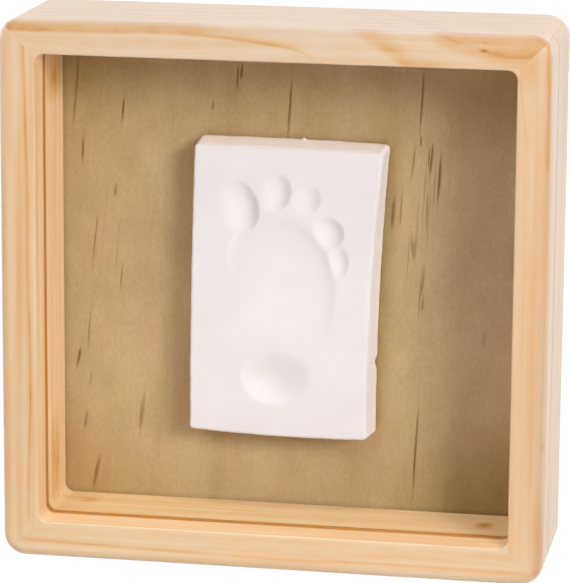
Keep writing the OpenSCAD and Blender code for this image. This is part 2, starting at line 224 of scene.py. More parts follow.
class Finish(Tree):
    # one material: its Object coordinates in millimetres, its patterns and its surface
    def __init__(self, name):
        self.material = bpy.data.materials.new(name)
        self.material.use_nodes = True
        super().__init__(self.material.node_tree)
        self.shader = self.find("BSDF_PRINCIPLED")
        place = self.node("ShaderNodeTexCoord", {}, out="Object")
        self.x, self.y, self.z = (
            self.node("ShaderNodeSeparateXYZ", {}, place, out=axis) / mm for axis in "XYZ")

    def point(self, x, y, z):
        return self.node("ShaderNodeCombineXYZ", {}, x, y, z)

    def curve(self, value, span, height, points):
        # a smooth line through the points, both axes in millimetres
        (low, high), (bottom, top) = span, height
        scaled = [((x - low) / (high - low), (y - bottom) / (top - bottom)) for x, y in points]
        drawn = self.node("ShaderNodeFloatCurve", {"points": scaled}, Value=(value - low) / (high - low))
        return drawn * (top - bottom) + bottom

    def spot(self, place, middle, reach, lean=0.0):
        # 1 at the middle of an ellipsoid, falling evenly to 0 at its surface
        settings = {"vector_type": "TEXTURE"}
        inside = self.node("ShaderNodeMapping", settings, place, middle, (0, lean, 0), reach)
        return self.node("ShaderNodeTexGradient", {"gradient_type": "SPHERICAL"}, inside, out="Fac")

    def noise(self, x, y, z, size, detail=2.0, roughness=0.5):
        # cloudy values about 0, from roughly -1 to 1, with spots of about this size in millimetres
        cloud = self.node("ShaderNodeTexNoise", {}, Vector=self.point(x, y, z), Scale=1 / size,
                          Detail=detail, Roughness=roughness)
        return (cloud - 0.5) * 2

    def outOfSquare(self, x, z, straight):
        # distance outside a square that reaches this far from the middle
        pastX, pastZ = (abs(x) - straight).atLeast(0.0), (abs(z) - straight).atLeast(0.0)
        return (pastX * pastX + pastZ * pastZ).root()

    def mix(self, share, first, second, blend="MIX"):
        # a Mix node's colours are its sockets 6 and 7, and its output 2
        settings = {"data_type": "RGBA", "blend_type": blend}
        return self.node("ShaderNodeMix", settings, share, sockets={6: first, 7: second}, out=2)

    def tint(self, colour, times, share=1.0):
        # the colour times red, green and blue, as far as the share says
        return self.mix(share, colour, (*times, 1), "MULTIPLY")

    def shade(self, colour, level):
        # the colour times one level that changes over the surface
        return self.mix(1.0, colour, self.point(level, level, level), "MULTIPLY")

    def bump(self, height, strength, distance):
        return self.node("ShaderNodeBump", {}, out="Normal",
                         Height=height, Strength=strength, Distance=distance)

    def surface(self, **sockets):
        for key, value in sockets.items():
            self.feed(self.shader.inputs[key.replace("_", " ")], value)
        return self.material


def dress(material, *names):
    for name in names:
        slots = nodes[name].data.materials
        slots.clear()
        slots.append(material)


# Late-wood lines that show on the lid's front: points (along the rail, outward) from the box's middle
paths = {
    "longBand": [(-92, 81.0), (-53, 81.2), (-38, 81.5), (-23, 81.3), (-15.5, 80.8), (-8.1, 80.1),
                 (-0.7, 79.2), (6.7, 78.0), (11.1, 76.4), (14, 74.4), (92, 70)],
    "diagonal": [(-92, 90), (19.5, 86.5), (24, 84), (27.3, 81.7), (31.3, 79.6), (34.8, 77.3), (38, 75),
                 (44, 71.5), (92, 70)],
    "lens": [(-92, 90), (46, 86.5), (49, 84.8), (51.9, 84), (55.6, 82.7), (58.5, 81.8), (61.4, 81),
             (64.3, 80.1), (67.9, 79.3), (71.5, 78.5), (75.1, 78.4), (78, 78.6), (80.8, 80.2),
             (82.9, 82.4), (92, 88)],
    "rightEdge": [(-92, 84.6), (-59, 84.5), (0, 84.4), (51, 84.4), (63, 84.4), (79, 84.0), (92, 83.4)],
    "rightFlare": [(-92, 90), (45, 78), (59, 76.3), (64.4, 75.6), (70.4, 74.9), (92, 72)],
    "bottomLine": [(-92, 78.8), (-78.5, 78.9), (-53.4, 79.4), (-21.5, 80), (7, 80.4), (41.4, 79.9),
                   (72, 80.2), (92, 80.5)],
    "leftLine": [(-92, 76.2), (-73, 76), (-51, 75.7), (-37, 75.1), (-12, 75.1), (1, 75.5), (29, 75.5),
                 (54, 75.9), (77.5, 76.4), (92, 77)],
}
# Pine rails: pale early wood and orange late wood in rings about a pith outside the rail
pine = {
    # early wood, orange late wood and dark knots; the lip, outer and wall tones are paler copies of the
    # front's, as painted light
    "tones": {
        "front": (tone(198, 169, 137), tone(194, 144, 91), tone(149, 88, 41)),
        "lip": (tone(224, 193, 154), tone(215, 162, 109), tone(166, 104, 53)),
        "outer": (tone(233, 212, 192), tone(220, 183, 152), tone(179, 129, 90)),
        "walls": (tone(233, 206, 167), tone(221, 172, 113), tone(177, 117, 33)),
    },
    # how a tone shifts on each side of the box, partly the rail's own tone and partly painted light, and
    # where one side runs into the next
    "tints": {
        "front": {"top": (0.907, 1.025, 1.175), "right": (0.93, 0.906, 0.877), "bottom": (0.99, 1.05, 1.09),
                  "left": (0.937, 0.932, 0.872), "turn": (0.2, 0.8)},
        "outer": {"top": (0.868, 0.9, 0.936), "right": (0.942, 0.942, 0.955), "bottom": (0.97, 1.0, 1.03),
                  "left": (0.97, 1.0, 1.03), "turn": (0.42, 0.58)},
        "walls": {"top": (1, 1, 1), "right": (1, 1, 1), "bottom": (0.99, 0.99, 0.93),
                  "left": (1.02, 1.02, 1.04), "turn": (0.4, 0.6)},
    },
    "sideToSide": (-30, 30),
    # red, green and blue of the patches, and from which to which noise they come up
    "rosy": (1.02, 0.972, 0.95), "golden": (0.99, 1.012, 0.95), "patches": (0.0, 0.7),
    # grey streaks on the outside
    "greyer": (0.93, 0.935, 0.985), "slant": 0.65, "streaks": (0.0, 0.5), "streakStrength": 0.8,
    "streakRagged": 2.0,
    # grain: stretch along the rail, shift for each seed, size in millimetres, detail, roughness
    "layers": {
        "wander": (0.1, 10, 14, 2, 0.5),
        "patch": (0.15, 7, 11, 1, 0.5),
        "fibre": (0.025, 1, 0.35, 3, 0.6),
        "band": (0.03, 5, 2.4, 2, 0.5),
        "mottle": (0.4, 3, 4, 3, 0.6),
        "streak": (0.06, 9, 2.6, 2, 0.5),
        "hue": (0.2, 2, 3, 2, 0.5),
    },
    "baseSeed": 5.3,                                     # the base's rails are other pieces of wood
    "ringWidth": 4.2, "wander": 2.5,                     # from ring to ring, and how far they stray
    "lateRise": (0.25, 0.88), "lateFall": (0.9, 1.0),    # shares of a ring
    "latePatch": (-0.5, 0.7),
    "shares": {"late": 0.2, "fibre": 0.16, "mottle": 0.2, "all": 0.13},
    # late-wood lines: what the paths cover, the soft near side as shares of the width, and the way in
    "span": (-92, 92), "reach": (70, 90), "lineRise": (-0.12, 0.3), "lineStart": 6.0,
    "ragged": 0.12, "lineMottle": 0.5, "lineBand": 0.3,
    # sizes of the rails
    "cornerRound": 7.0, "railWidth": 10.8, "frontRound": 3.0, "mitreWidth": 0.22,
    # where marks begin and end, or their middle and width (At): short of the outer faces
    "mitreFrom": (-5.5, -2.0), "outerFrom": (-1.1, 0.0), "seamFrom": (-1.0, -0.6),
    # behind the lid's front, round its edge, and short of the pane
    "frontTo": (1.7, 3.1), "lipFrom": (0.5, 1.1), "paintedEdgeHighlightAt": (0.3, 0.35), "roundFrom": (-0.2, 1.1),
    "paneLine": (-2.4, -0.6),
    # out from the inner walls, and behind the base's front
    "wallTo": (0.3, 0.7), "gapTo": (0.5, 0.9), "paintedEdgeHighlightTo": (0.0, 1.0),
    "seamAt": (0.3, 0.5), "gapDeep": (0.6, 1.6), "meetDeep": (1.2, 2.2),
    # how strong the marks are
    "gapShade": 1.1, "paneShade": 0.8, "paintedEdgeHighlight": 0.04, "fibreShade": 0.1, "mottleShade": 0.05,
    "roughness": 0.55, "fibreRoughness": 0.08, "specular": 0.3, "coat": 0.3, "coatRoughness": 0.4,
    "bump": (0.05, 0.0003),
}
# Each rail: mitre is how dark the glue line is at its two ends, edge how bright the rounded edge (below 1 it
# is dimmed with painted shade), seam how dark the painted shade along the seam and grain how strong the
# bands.
# A line's width runs from its path to its far side (below 0: inward), hold is the share of it before it
# fades, and fade is how long it takes to die away at its end. A spot has a middle, a reach and a strength.
rails = {
    "top": {
        "axis": "z", "sign": 1, "pith": (128, 34), "lean": 0.05, "seed": 3.1, "mitre": (0.06, 0.32),
        "edge": 0.82, "seam": 0.16, "grain": 0.22,
        "streaks": [(40, 2.5, 0.8), (27, 3, 0.4)],       # place along, width and strength
        "lines": [
            {"path": "longBand", "width": 4.2, "hold": 0.5, "strength": 0.34, "span": (-90, 10), "fade": 40},
            {"path": "longBand", "width": 1.9, "hold": 0.1, "strength": 0.3, "span": (-90, 17), "fade": 14},
            {"path": "diagonal", "width": 9.5, "hold": 0.36, "strength": 0.3, "span": (14, 62), "fade": 20},
            {"path": "lens", "width": 7.5, "hold": 0.75, "strength": 0.29, "span": (44, 90), "fade": 8},
            {"path": "lens", "width": 2.6, "hold": 0.2, "strength": 0.3, "span": (46, 90), "fade": 8,
             "shift": -0.8},
            {"path": "lens", "width": -5.0, "hold": 0.1, "strength": 0.34, "span": (46, 90), "fade": 8},
        ],
        "spots": [((64.1, 80.1, -23.5), (1.8, 0.9, 3), 0.45), ((64.4, 82.4, -23.0), (0.8, 0.6, 2), 0.25)],
        "baseSpots": [],
    },
    "right": {
        "axis": "x", "sign": 1, "pith": (40, 70), "lean": -0.02, "seed": 8.7, "mitre": (0.05, 0.32),
        "edge": 0.84, "seam": 0.36, "grain": 0.33, "streaks": [],
        "lines": [
            {"path": "rightEdge", "width": -1.8, "hold": 0.3, "strength": 0.34, "span": (42, 92), "fade": 6},
            {"path": "rightFlare", "width": 0.9, "hold": 0.1, "strength": 0.2, "span": (48, 76), "fade": 8},
        ],
        "spots": [((-41, 84.3, -22), (3, 0.7, 3), 0.4), ((-68, 83.5, -22), (16, 3, 6), 0.25),
                  ((75, 78.5, -23.5), (9, 5, 5), 0.25)],
        "baseSpots": [],
    },
    "bottom": {
        "axis": "z", "sign": -1, "pith": (40, 90), "lean": 0.015, "seed": 14.2, "mitre": (0.03, 0.03),
        "edge": 0.93, "seam": 0.2, "grain": 0.34, "streaks": [],
        "lines": [
            {"path": "bottomLine", "width": 1.6, "hold": 0.1, "strength": 0.3, "span": (-80, 82), "fade": 8},
        ],
        "spots": [],
        "baseSpots": [((63.9, 74.2, 3.5), (4, 3, 4.5), 0.8), ((-64, 74.2, 6), (4, 3, 5), 0.4)],
    },
    "left": {
        "axis": "x", "sign": -1, "pith": (40, 60), "lean": -0.01, "seed": 21.9, "mitre": (0.03, 0.06),
        "edge": 1.0, "seam": 0.2, "grain": 0.38, "streaks": [],
        "lines": [
            {"path": "leftLine", "width": 1.5, "hold": 0.1, "strength": 0.36, "span": (-76, 82), "fade": 8},
        ],
        "spots": [],
        "baseSpots": [((62.9, 74.2, 3.4), (9, 4, 13), 0.62), ((-60, 74.2, 2.2), (18, 4, 8), 0.5)],
    },
}


class Pine(Finish):
    # the wood of one rail: where a point lies on it, its grain and its faces
    def __init__(self, name, rail, onBase):
        super().__init__(name)
        self.rail, self.seed = rail, rail["seed"] + (pine["baseSeed"] if onBase else 0)
        self.height = self.z - half
        if rail["axis"] == "z":
            self.along, self.outward = self.x, self.height * rail["sign"]
        else:
            self.along, self.outward = self.height, self.x * rail["sign"]
        self.behind = self.y - frontY                               # behind the lid's front
        self.pastSeam = self.y - seamY                              # behind the base's front
        self.inWood = self.outward - (half - pine["railWidth"])     # out from the inner wall
        # 0 on the outer faces and round the corners, below 0 in the wood
        corner = pine["cornerRound"]
        self.outside = self.outOfSquare(self.x, self.height, half - corner) - corner
        self.fibre, self.band, self.mottle = (self.layer(key) for key in ("fibre", "band", "mottle"))

    def layer(self, key):
        # noise drawn out along the grain
        stretch, shift, size, detail, roughness = pine["layers"][key]
        across = self.outward + self.seed * shift
        return self.noise(self.along * stretch, across, self.y, size, detail, roughness)

    def rings(self):
        # late wood by the distance from a leaning pith, wavy, with a slow rise and a quick fall
        pithOut, pithDepth = self.rail["pith"]
        out, back = self.outward - pithOut - self.along * self.rail["lean"], self.y - pithDepth
        distance = (out * out + back * back).root() + self.layer("wander") * pine["wander"]
        ring = (distance / pine["ringWidth"] + self.seed).fraction()
        return ring.rise(*pine["lateRise"]) * (1 - ring.rise(*pine["lateFall"]))

    def lines(self):
        # late wood beside each path, ragged and patchy, on the front and the start of its rounded edge
        ragged = self.outward + self.fibre * pine["ragged"]
        total = 0
        for line in self.rail["lines"]:
            path = self.curve(self.along, pine["span"], pine["reach"], paths[line["path"]])
            across = (ragged - path - line.get("shift", 0)) / line["width"]
            shape = across.rise(*pine["lineRise"]) * (1 - across.rise(line["hold"], 1.0))
            start, end = line["span"]
            begun = self.along.rise(start, start + pine["lineStart"])
            window = begun * (1 - self.along.rise(end - line["fade"], end))
            total = total + shape * window * line["strength"]
        patchy = self.mottle * pine["lineMottle"] + self.band * pine["lineBand"] + 1
        return total * patchy * (1 - self.behind.rise(*pine["frontTo"]))

    def mitre(self):
        # a fine dark line where two rails are glued, with a strength for each end
        low, high = self.rail["mitre"]
        strength = self.along.rise(-1, 1) * (high - low) + low
        line = (abs(self.along) - self.outward).bell(0, pine["mitreWidth"])
        return line * (self.outward - half).rise(*pine["mitreFrom"]) * strength

    def grain(self, spots, withLines):
        # 0 early wood, 0.5 late wood, 1 a dark knot
        part = pine["shares"]
        late = self.rings() * self.layer("patch").rise(*pine["latePatch"])
        share = late * part["late"] + self.fibre * part["fibre"] + self.band * self.rail["grain"]
        share = share + self.mottle * part["mottle"] + part["all"]
        if withLines:
            share = share + self.lines()
        place = self.point(self.along, self.outward, self.y)
        for middle, reach, strength in spots:
            share = share + self.spot(place, middle, reach) * strength
        return share + self.mitre()

    def ramp(self, key, share):
        early, late, knot = pine["tones"][key]
        return self.node("ShaderNodeValToRGB", {"stops": [(0.0, early), (0.5, late), (1.0, knot)]}, share)

    def toned(self, key, share):
        # the ramp with a tint for each side of the box, partly painted light, which run into one another at
        # the corners
        tints = pine["tints"][key]
        left, right, bottom, top = ((*tints[side], 1) for side in ("left", "right", "bottom", "top"))
        upright = self.mix(self.x.rise(*pine["sideToSide"]), left, right)
        level = self.mix(self.height.rise(*pine["sideToSide"]), bottom, top)
        sideways = self.x * self.x / (self.x * self.x + self.height * self.height)
        tint = self.mix(sideways.rise(*tints["turn"]), level, upright)
        return self.mix(1.0, self.ramp(key, share), tint, "MULTIPLY")

    def outerFace(self, share):
        # the outside, paler by a painted sheen, and with slanted grey streaks
        streak = self.layer("streak").rise(*pine["streaks"]) * pine["streakStrength"]
        slanted = self.along + self.y * pine["slant"] + self.mottle * pine["streakRagged"]
        for middle, width, strength in self.rail["streaks"]:
            streak = streak + slanted.bell(middle, width) * strength
        return self.tint(self.toned("outer", share), pine["greyer"], streak)

    def lidFace(self, share):
        # the front, and the lip inside it: the lip's paler tone is painted light, and the dark line along the
        # pane is painted shade
        onLip = 1 - self.inWood.rise(*pine["wallTo"])
        # painted shade: a dark line on the lip just in front of the pane
        line = onLip * (self.y - paneY).rise(*pine["paneLine"]) * pine["paneShade"]
        lip = self.ramp("lip", share + line)
        return self.mix(onLip * self.behind.rise(*pine["lipFrom"]), self.toned("front", share), lip)

    def baseFace(self, share):
        # the inner walls, whose paler tone is painted light, with painted shade in the gap behind the lid,
        # and the seam's face, which shows with the lid open
        # painted shade in the gap behind the lid's lip
        gap = (1 - self.inWood.rise(*pine["gapTo"])) * (1 - self.pastSeam.rise(*pine["gapDeep"]))
        share = share + gap * pine["gapShade"]
        meeting = self.inWood.rise(*pine["wallTo"]) * (1 - self.pastSeam.rise(*pine["meetDeep"]))
        return self.mix(meeting, self.toned("walls", share), self.ramp("front", share))


def pineFinish(name, rail, spots, onBase):
    f = Pine(name, rail, onBase)
    share = f.grain(spots, not onBase)
    face = f.baseFace(share) if onBase else f.lidFace(share)
    colour = f.mix(f.outside.rise(*pine["outerFrom"]), face, f.outerFace(share))
    # rosy and golden patches, a rounded edge dimmed by painted shade, a soft line of painted shade along the
    # seam and a painted highlight along the edge of the opening
    hue = f.layer("hue")
    colour = f.tint(colour, pine["rosy"], hue.rise(*pine["patches"]))
    colour = f.tint(colour, pine["golden"], (-hue).rise(*pine["patches"]))
    # painted shade: the rounded front edge is dimmed where it would catch the light, most on the top and
    # right rails
    rounded = (f.outside - f.behind + pine["frontRound"]).rise(*pine["roundFrom"]) * (1 - rail["edge"])
    # painted shade: a soft dark line along the seam between lid and base on the outer faces
    seamLine = f.pastSeam.bell(*pine["seamAt"]) * f.outside.rise(*pine["seamFrom"]) * rail["seam"]
    # painted highlight: a pale line along the rounded edge of the opening
    paintedEdgeHighlight = f.behind.bell(*pine["paintedEdgeHighlightAt"]) * (1 - f.inWood.rise(*pine["paintedEdgeHighlightTo"])) * pine["paintedEdgeHighlight"]
    level = f.fibre * pine["fibreShade"] + f.mottle * pine["mottleShade"] + 1 + paintedEdgeHighlight - rounded - seamLine
    rough = f.fibre * pine["fibreRoughness"] + pine["roughness"]
    return f.surface(Base_Color=f.shade(colour, level), Roughness=rough, Specular_IOR_Level=pine["specular"],
                     Coat_Weight=pine["coat"], Coat_Roughness=pine["coatRoughness"],
                     Normal=f.bump(f.fibre, *pine["bump"]))


for key, rail in rails.items():
    dress(pineFinish(f"pine_lid_{key}", rail, rail["spots"], False), f"lid_{key}_rail")
    dress(pineFinish(f"pine_base_{key}", rail, rail["baseSpots"], True), f"base_{key}_rail")
print("stage 2: rails dressed")


# Back panel: plywood face with upright grain that leans a little, and dark dashes
plywood = {
    "light": tone(181, 156, 118), "dark": tone(136, 108, 60), "dash": tone(104, 67, 18),
    "pinker": (1.06, 0.965, 1.0), "greener": (0.96, 1.02, 0.91), "patches": (0.0, 0.6),
    "frontTo": (0.9, 2.9),          # behind the panel's front, where the rear's plainer grain begins
    # grain: lean to the right, stretch across and up, shift in x and y, size, detail, roughness
    "layers": {
        "broad": (0.06, (1, 0.14), (30, 0), 9, 2, 0.5),
        "blotch": (0, (1, 0.7), (0, 0), 9, 4, 0.6),
        "fibre": (0.06, (2, 0.07), (0, 0), 1.1, 3, 0.65),
        "speckle": (0, (1, 0.6), (0, 0), 1.0, 3, 0.6),
        "patch": (0.06, (1, 0.2), (0, 20), 8, 2, 0.5),
        "fleck": (0.06, (3, 0.12), (0, 0), 0.9, 2, 0.5),
        "hue": (0.06, (1, 0.25), (0, 40), 7, 2, 0.5),
    },
    "shares": {"broad": 0.16, "blotch": 0.26, "fibre": 0.2, "speckle": 0.26, "all": 0.37},
    "fibrePatch": (-0.4, 0.5), "rearFibre": 1.4,    # patchy on the front, even and stronger on the rear
    # painted shade at the top and in the lower right corner, and painted light low on the left and on the
    # right
    "topDark": ((30, 72), 0.14), "cornerDark": ((72, 0, -76), (44, 1, 34), 0.6),
    "lowPale": ((-30, 40), (-10, 60), 0.1), "rightPale": ((30, 60), 0.2),
    # painted shadow along the tablet's right edge: x of the edge, height of its middle, lean, width, ends,
    # start
    "tabletShadow": (0.88, 0.86, 0.76), "tabletShadowEdge": 28.2, "tabletShadowMiddle": -2.0, "tabletShadowLean": 0.037,
    "tabletShadowWidth": 6.5, "tabletShadowEnds": (40, 50), "tabletShadowFrom": (20, 25),
    # painted shade: a darker, yellower cast in the corners, where width times height is near the corner's
    "corner": (0.93, 0.89, 0.74), "cornerArea": 5500.0, "cornerFrom": (0.4, 0.85),
    # painted shade in the seat along the walls: straight part of the walls, where it begins and ends outside
    # that, and its strength
    "seat": 71.2, "seatFrom": (0.8, 3.1), "seatShade": 0.2,
    "roughness": 0.65, "specular": 0.2,
    # a dash is a dark core in a soft bed, wider and longer than its half sizes say; flecks lie between
    "bedGrow": (1.2, 1.7), "bed": 0.3, "core": 0.8, "coreFrom": (0.35, 0.75), "ragged": 0.45,
    "fleckFrom": (0.4, 0.75), "fleckFront": 0.2, "fleckRear": 0.45,
    "dashFibre": (0.85, 0.9), "darkest": 0.85,      # how dark in the mean, and how far the fibres change it
    # middle x, height above the box's middle, half length, lean to the right, half width, strength
    "dashes": [
        (-69.9, 57.3, 12, 0.087, 0.7, 0.8), (-54.7, 51.4, 5, 0.12, 0.6, 0.9),
        (-67.8, 38.2, 4.5, 0.06, 0.6, 0.9), (-63.8, 9.8, 10, 0.11, 0.5, 0.45),
        (-55.4, -2.4, 5, 0.11, 0.6, 0.55), (40.3, 56.7, 11, 0.065, 0.6, 0.9),
        (40.2, 45.2, 2, 0, 0.6, 0.8), (37.9, 38, 6, 0.12, 0.6, 0.55), (42.8, 40, 4, 0.05, 0.5, 0.8),
        (43.6, 39.5, 6, 0.08, 0.6, 0.9), (46.1, 33, 8.5, 0.065, 0.8, 0.9),
        (34.2, 23.5, 6.5, 0.05, 0.6, 0.6), (31.7, 22, 6, 0.06, 1.0, 0.9),
        (42.4, 23.3, 7, 0.03, 0.5, 0.5), (38, 11.3, 4, -0.06, 0.6, 0.6),
        (38.7, 10.9, 4.5, 0.05, 0.5, 0.6), (41.5, 0.7, 6, 0.08, 0.6, 0.6),
        (-66, -19.7, 8, 0.07, 0.6, 0.5), (-69.5, -29.7, 4, 0.2, 0.8, 0.8),
        (-65.7, -36.5, 3, 0.13, 0.6, 0.45), (-48.6, -45.7, 7.5, 0.11, 0.9, 0.6),
        (-67.2, -49.8, 3.5, 0.12, 0.7, 0.6), (-63.8, -67.2, 7, 0.21, 1.0, 0.65),
        (41.6, -6.6, 3.5, 0.07, 0.6, 0.5), (40, -54.8, 17, 0.05, 0.6, 0.9),
        (-17.9, 63.2, 4.5, 0.05, 0.6, 0.8), (-16.6, 65.3, 3, 0.1, 0.6, 0.9),
        (-25.7, 54, 2, 0.1, 0.6, 0.6), (-1.3, 53.5, 11, 0.05, 0.7, 0.9),
        (-57.2, 25.8, 2.5, 0.1, 0.8, 0.6), (61, -17.4, 3, 0.09, 0.8, 0.4),
        (41.4, 27, 13, 0.05, 0.35, 0.5), (42.9, 20, 12, 0.04, 0.3, 0.4), (44.6, 30, 9, 0.05, 0.3, 0.45),
        (39.3, 16, 12, 0.05, 0.35, 0.4), (36.8, 8, 9, 0.04, 0.3, 0.35),
        (40.6, -4, 10, 0.05, 0.35, 0.45), (-60.5, 20, 10, 0.1, 0.35, 0.3),
        (-56.5, 8, 9, 0.1, 0.35, 0.3),
    ],
}


class Plywood(Finish):
    # the panel's face: its upright grain, its dashes and its marks
    def __init__(self, name):
        super().__init__(name)
        self.height = self.z - half
        self.onFront = 1 - (self.y - panelY).rise(*plywood["frontTo"])
        self.fibre = self.layer("fibre")

    def layer(self, key):
        # noise drawn out along the leaning grain
        lean, (across, up), (shiftX, shiftY), size, detail, roughness = plywood["layers"][key]
        x = (self.x - self.height * lean + shiftX) * across
        return self.noise(x, self.y + shiftY, self.height * up, size, detail, roughness)

    def paintedShadeAndLight(self):
        # painted shade at the top and in the lower right corner, less painted light low on the left and on
        # the right
        (topFrom, top), (middle, reach, corner) = plywood["topDark"], plywood["cornerDark"]
        (lowTo, leftTo, low), (rightFrom, right) = plywood["lowPale"], plywood["rightPale"]
        place = self.point(self.x, self.y * 0, self.height)
        darker = self.height.rise(*topFrom) * top + self.spot(place, middle, reach) * corner
        lowLeft = (1 - self.height.rise(*lowTo)) * (1 - self.x.rise(*leftTo))
        return darker - lowLeft * low - self.x.rise(*rightFrom) * right

    def veneer(self):
        # pale to dark by the layers of grain, then pinker and greener patches
        part = plywood["shares"]
        plain = (1 - self.onFront) * plywood["rearFibre"]
        patchy = self.layer("patch").rise(*plywood["fibrePatch"]).atLeast(plain)
        share = self.fibre * patchy * part["fibre"] + self.paintedShadeAndLight() + part["all"]
        for key in ("broad", "blotch", "speckle"):
            share = share + self.layer(key) * part[key]
        colour = self.mix(share.atLeast(0.0).atMost(1.0), plywood["light"], plywood["dark"])
        hue = self.layer("hue")
        colour = self.tint(colour, plywood["pinker"], hue.rise(*plywood["patches"]))
        return self.tint(colour, plywood["greener"], (-hue).rise(*plywood["patches"]))

    def dashes(self):
        # how dark the dashes and flecks are, broken up by the fibres
        wider, longer = plywood["bedGrow"]
        place = self.point(self.x + self.fibre * plywood["ragged"], self.y * 0, self.height)
        dark = 0
        for middleX, middleZ, halfLength, lean, halfWidth, strength in plywood["dashes"]:
            reach = (halfWidth * wider, 1, halfLength * longer)
            bed = self.spot(place, (middleX, 0, middleZ), reach, math.atan(lean))
            dark = dark + (bed.rise(*plywood["coreFrom"]) * plywood["core"] + bed * plywood["bed"]) * strength
        front, rear = plywood["fleckFront"], plywood["fleckRear"]
        fleck = self.layer("fleck").rise(*plywood["fleckFrom"]) * (rear - self.onFront * (rear - front))
        always, byFibre = plywood["dashFibre"]
        dark = (dark * self.onFront + fleck) * (self.fibre * byFibre + always)
        return dark.atLeast(0.0).atMost(plywood["darkest"])

    def tabletShadow(self):
        # painted shadow: a soft band beside the tablet, which leans as its edge does
        up = self.height - plywood["tabletShadowMiddle"]
        beside = self.x - plywood["tabletShadowEdge"] - up * plywood["tabletShadowLean"]
        band = (1 - beside.rise(0.0, plywood["tabletShadowWidth"])) * self.x.rise(*plywood["tabletShadowFrom"])
        return band * (1 - abs(up).rise(*plywood["tabletShadowEnds"])) * self.onFront


def plywoodFinish():
    f = Plywood("plywood")
    colour = f.mix(f.dashes(), f.veneer(), plywood["dash"])
    colour = f.tint(colour, plywood["tabletShadow"], f.tabletShadow())
    # painted shade in the panel's corners
    corner = (abs(f.x) * abs(f.height) / plywood["cornerArea"]).rise(*plywood["cornerFrom"])
    colour = f.tint(colour, plywood["corner"], corner)
    # painted shade along the panel's edges, where it meets the walls
    paintedSeatShade = f.outOfSquare(f.x, f.height, plywood["seat"]).rise(*plywood["seatFrom"]) * plywood["seatShade"]
    return f.surface(Base_Color=f.shade(colour, 1 - paintedSeatShade), Roughness=plywood["roughness"],
                     Specular_IOR_Level=plywood["specular"])


dress(plywoodFinish(), "back_panel")


# Clear pane: seen only at a glancing angle
acrylic = {"colour": tone(235, 240, 240), "roughness": 0.04, "gloss": 0.8, "glancing": 5}


def acrylicFinish(a):
    f = Finish("acrylic")
    glancing = f.node("ShaderNodeLayerWeight", {}, 0.5, out="Facing")
    return f.surface(Base_Color=a["colour"], Roughness=a["roughness"],
                     Alpha=glancing ** a["glancing"] * a["gloss"])


dress(acrylicFinish(acrylic), "window_pane")


# Metals: colour and roughness, and the fine scratches that all of them have
metals = {
    "brass": (tone(222, 186, 112), 0.3),
    "nickel": (tone(205, 205, 208), 0.2),
    "steel": (tone(188, 190, 194), 0.35),
}
scratches = {"across": 3, "up": 0.4, "noise": (1.5, 3), "from": (-0.8, 0.8), "dim": 0.85, "roughness": 0.06}


def metalFinish(name):
    f, s = Finish(name), scratches
    colour, roughness = metals[name]
    darker = [v * s["dim"] for v in colour[:3]] + [1]
    scratch = f.noise(f.x * s["across"], f.y * s["across"], f.z * s["up"], *s["noise"])
    return f.surface(Base_Color=f.mix(scratch.rise(*s["from"]), colour, darker), Metallic=1.0,
                     Roughness=scratch * s["roughness"] + roughness)


dress(metalFinish("brass"), "upper_hinge_lid_leaf", "upper_hinge_base_leaf", "upper_hinge_pin",
      "lower_hinge_lid_leaf", "lower_hinge_base_leaf", "lower_hinge_pin",
      "lid_hinge_screws", "base_hinge_screws")
dress(metalFinish("nickel"), "lid_magnets", "base_magnets")
dress(metalFinish("steel"), "hanger", "hanger_nails")


# Mounting tape: white foam with fine cells, whose size and detail come first
foam = {"cells": (0.5, 3), "cellsFrom": (-0.6, 0.6), "roughness": 0.9, "bump": (0.3, 0.0003),
        "light": tone(240, 240, 234), "dark": tone(226, 226, 220)}


def foamFinish(m):
    f = Finish("foam")
    cells = f.noise(f.x, f.y, f.z, *m["cells"])
    colour = f.mix(cells.rise(*m["cellsFrom"]), m["light"], m["dark"])
    return f.surface(Base_Color=colour, Roughness=m["roughness"], Normal=f.bump(cells, *m["bump"]))


dress(foamFinish(foam), "mounting_tape")


